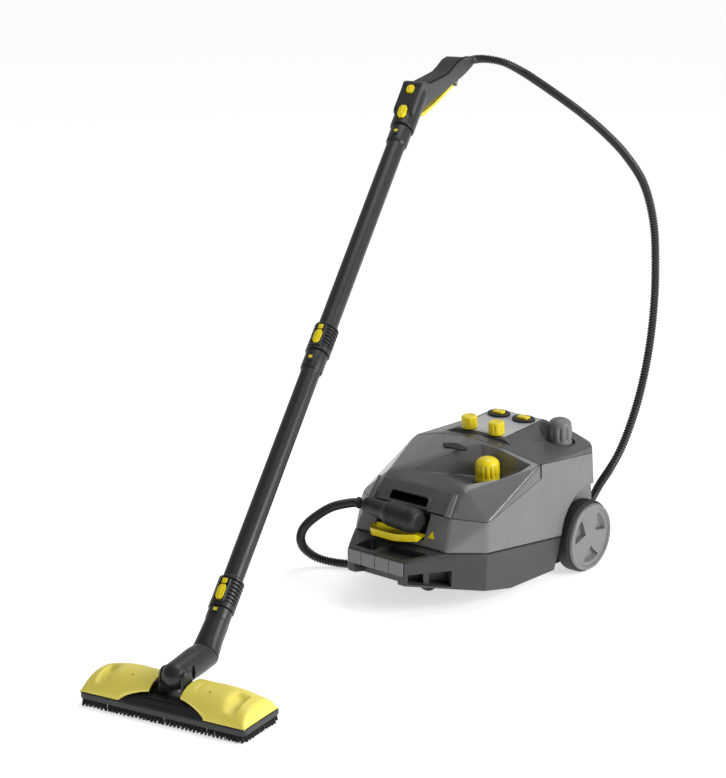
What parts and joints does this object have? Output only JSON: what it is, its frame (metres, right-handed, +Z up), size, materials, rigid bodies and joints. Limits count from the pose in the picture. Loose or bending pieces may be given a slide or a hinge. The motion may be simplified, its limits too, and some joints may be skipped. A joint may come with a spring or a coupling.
{
  "type": "steam cleaner",
  "caption": "Wheeled steam cleaner with boiler and water tank caps, control deck, steam hose, gun, extension tubes and a floor nozzle with cloth clamps.",
  "frame": {"origin": "on the floor, under the middle of the box round everything but the hose", "axes": "+Z up, the machine's front and the nozzle face -Y, +X to the right seen from the front"},
  "size_m": [0.5548, 1.3549, 0.8579],
  "materials": {
    "housing_plastic": "fine-grained moulded plastic",
    "hood_plastic": "semi-gloss moulded plastic",
    "base_plastic": "fine-grained moulded plastic",
    "soft_black": "matt moulded plastic",
    "console_silver": "smooth satin plate",
    "control_yellow": "smooth semi-gloss",
    "clamp_yellow": "smooth semi-gloss",
    "tool_plastic": "fine-grained moulded plastic",
    "wheel_plastic": "satin moulded plastic",
    "tyre_rubber": "matt rubber",
    "seal_rubber": "matt rubber",
    "hose_rubber": "finely ribbed rubber",
    "bristle": "bristle tufts",
    "steel": "plain steel",
    "copper": "plain copper",
    "inner_white": "moulded plastic",
    "inner_dark": "moulded plastic",
    "board_green": "coated board"
  },
  "bodies": {
    "root": {"base_tray": "base_plastic", "bumper_strip": "housing_plastic", "main_housing": "housing_plastic", "hood": "hood_plastic", "front_fascia": "hood_plastic", "handle_pocket": "base_plastic", "control_console": "base_plastic", "console_plate": "console_silver", "name_badge": "soft_black", "marker_plate": "control_yellow", "socket_panel": "soft_black", "steam_socket": "steel", "boiler": "steel", "heater_ring": "copper", "boiler_thermostat": "inner_white", "water_tank": "inner_white", "feed_pump": "inner_dark", "steam_pipe": "copper", "control_board": "board_green", "cable_gland": "soft_black", "rear_axle": "steel", "switch_bezel_left": "soft_black", "switch_bezel_right": "soft_black", "plug_body": "tool_plastic", "plug_ferrule": "seal_rubber", "steam_hose": "hose_rubber", "gun_ferrule": "seal_rubber", "gun_body": "tool_plastic", "gun_grip": "soft_black", "upper_tube": "tool_plastic", "lower_tube": "tool_plastic", "nozzle_neck": "tool_plastic", "parking_hook": "soft_black"},
    "left_wheel": {"wheel_tyre_left": "tyre_rubber", "wheel_hub_left": "wheel_plastic"},
    "right_wheel": {"wheel_tyre_right": "tyre_rubber", "wheel_hub_right": "wheel_plastic"},
    "castor_frame": {"castor_fork": "soft_black", "castor_axle": "steel"},
    "castor_roller": {"castor_wheel": "wheel_plastic"},
    "boiler_cap_seat": {"boiler_cap_seal": "seal_rubber"},
    "boiler_cap_top": {"boiler_cap": "control_yellow"},
    "tank_cap_seat": {"tank_cap_seal": "seal_rubber"},
    "tank_cap_top": {"tank_cap": "housing_plastic"},
    "steam_knob": {"steam_volume_knob": "control_yellow"},
    "temperature_dial": {"temperature_knob": "control_yellow"},
    "power_rocker": {"power_switch": "control_yellow"},
    "heater_rocker": {"heater_switch": "control_yellow"},
    "socket_cover": {"socket_flap": "control_yellow"},
    "trigger": {"gun_trigger": "control_yellow"},
    "lock_button": {"gun_lock_button": "control_yellow"},
    "gun_release": {"gun_release_button": "control_yellow"},
    "upper_release": {"upper_tube_release": "control_yellow"},
    "lower_release": {"lower_tube_release": "control_yellow"},
    "elbow": {"nozzle_elbow": "tool_plastic"},
    "nozzle": {"nozzle_body": "tool_plastic", "nozzle_pin": "steel", "bristle_strip": "bristle"},
    "left_clamp": {"clamp_left": "clamp_yellow"},
    "right_clamp": {"clamp_right": "clamp_yellow"}
  },
  "joints": [
    {"name": "left_wheel_spin", "type": "hinge", "parent": "root", "child": "left_wheel", "pos_m": [-0.071, 0.3758, 0.065], "axis": [1, 0, 0], "continuous": true},
    {"name": "right_wheel_spin", "type": "hinge", "parent": "root", "child": "right_wheel", "pos_m": [0.216, 0.3758, 0.065], "axis": [1, 0, 0], "continuous": true},
    {"name": "castor_swivel", "type": "hinge", "parent": "root", "child": "castor_frame", "pos_m": [0.0725, 0.0978, 0.06], "axis": [0, 0, 1], "continuous": true},
    {"name": "castor_roll", "type": "hinge", "parent": "castor_frame", "child": "castor_roller", "pos_m": [0.0725, 0.1158, 0.022], "axis": [1, 0, 0], "continuous": true},
    {"name": "boiler_cap_lift", "type": "slide", "parent": "root", "child": "boiler_cap_seat", "axis": [0, 0, 1], "range_m": [0, 0.0045]},
    {"name": "boiler_cap_turn", "type": "hinge", "parent": "boiler_cap_seat", "child": "boiler_cap_top", "pos_m": [0.1405, 0.1888, 0.2155], "axis": [0, 0, 1], "range_deg": [0, 540]},
    {"name": "tank_cap_lift", "type": "slide", "parent": "root", "child": "tank_cap_seat", "axis": [0, 0, 1], "range_m": [0, 0.0045]},
    {"name": "tank_cap_turn", "type": "hinge", "parent": "tank_cap_seat", "child": "tank_cap_top", "pos_m": [0.1665, 0.3638, 0.247], "axis": [0, 0, 1], "range_deg": [0, 540]},
    {"name": "steam_volume_turn", "type": "hinge", "parent": "root", "child": "steam_knob", "pos_m": [0.0425, 0.26301, 0.26534], "axis": [0, -0.0791, 0.9969], "range_deg": [0, 270]},
    {"name": "temperature_turn", "type": "hinge", "parent": "root", "child": "temperature_dial", "pos_m": [0.1025, 0.26301, 0.26534], "axis": [0, -0.0791, 0.9969], "range_deg": [-270, 0]},
    {"name": "power_rock", "type": "hinge", "parent": "root", "child": "power_rocker", "pos_m": [0.045, 0.34542, 0.26665], "axis": [1, 0, 0], "range_deg": [-7, 7]},
    {"name": "heater_rock", "type": "hinge", "parent": "root", "child": "heater_rocker", "pos_m": [0.1, 0.34542, 0.26665], "axis": [1, 0, 0], "range_deg": [-7, 7]},
    {"name": "socket_cover_hinge", "type": "hinge", "parent": "root", "child": "socket_cover", "pos_m": [0.0655, 0.0478, 0.128], "axis": [1, 0, 0], "range_deg": [0, 10], "stiffness_Nm_per_rad": 0.3, "springref_deg": -6.88},
    {"name": "trigger_pull", "type": "hinge", "parent": "root", "child": "trigger", "pos_m": [-0.23273, 0.545, 0.81163], "axis": [0.9493, 0.3143, 0], "range_deg": [-5, 0], "stiffness_Nm_per_rad": 2, "springref_deg": 8.59},
    {"name": "lock_button_press", "type": "slide", "parent": "root", "child": "lock_button", "axis": [-0.2015, 0.6084, -0.7676], "range_m": [0, 0.0025], "stiffness_N_per_m": 300, "springref_m": -0.001},
    {"name": "gun_release_press", "type": "slide", "parent": "root", "child": "gun_release", "axis": [-0.2015, 0.6084, -0.7676], "range_m": [0, 0.0025], "stiffness_N_per_m": 300, "springref_m": -0.001},
    {"name": "upper_tube_release_press", "type": "slide", "parent": "root", "child": "upper_release", "axis": [-0.2015, 0.6084, -0.7676], "range_m": [0, 0.0025], "stiffness_N_per_m": 300, "springref_m": -0.001},
    {"name": "lower_tube_release_press", "type": "slide", "parent": "root", "child": "lower_release", "axis": [-0.2015, 0.6084, -0.7676], "range_m": [0, 0.0025], "stiffness_N_per_m": 300, "springref_m": -0.001},
    {"name": "nozzle_swivel", "type": "hinge", "parent": "root", "child": "elbow", "pos_m": [0.1045, -0.4735, 0.0704], "axis": [-0.2259, 0.8975, 0.3786], "range_deg": [-60, 60]},
    {"name": "nozzle_tilt", "type": "hinge", "parent": "elbow", "child": "nozzle", "pos_m": [0.1197, -0.5524, 0.064], "axis": [0.9819, 0.1893, 0], "range_deg": [-80, 8]},
    {"name": "left_clamp_hinge", "type": "hinge", "parent": "nozzle", "child": "left_clamp", "pos_m": [0.02101, -0.51592, 0.0235], "axis": [0.9819, 0.1893, 0], "range_deg": [-20, 0], "stiffness_Nm_per_rad": 1, "springref_deg": 8.59},
    {"name": "right_clamp_hinge", "type": "hinge", "parent": "nozzle", "child": "right_clamp", "pos_m": [0.19776, -0.48185, 0.0235], "axis": [0.9819, 0.1893, 0], "range_deg": [-20, 0], "stiffness_Nm_per_rad": 1, "springref_deg": 8.59}
  ],
  "couplings": [
    {"joint": "boiler_cap_turn", "follows": "boiler_cap_lift", "rad_per_m": 2094.4},
    {"joint": "tank_cap_turn", "follows": "tank_cap_lift", "rad_per_m": 2094.4}
  ]
}
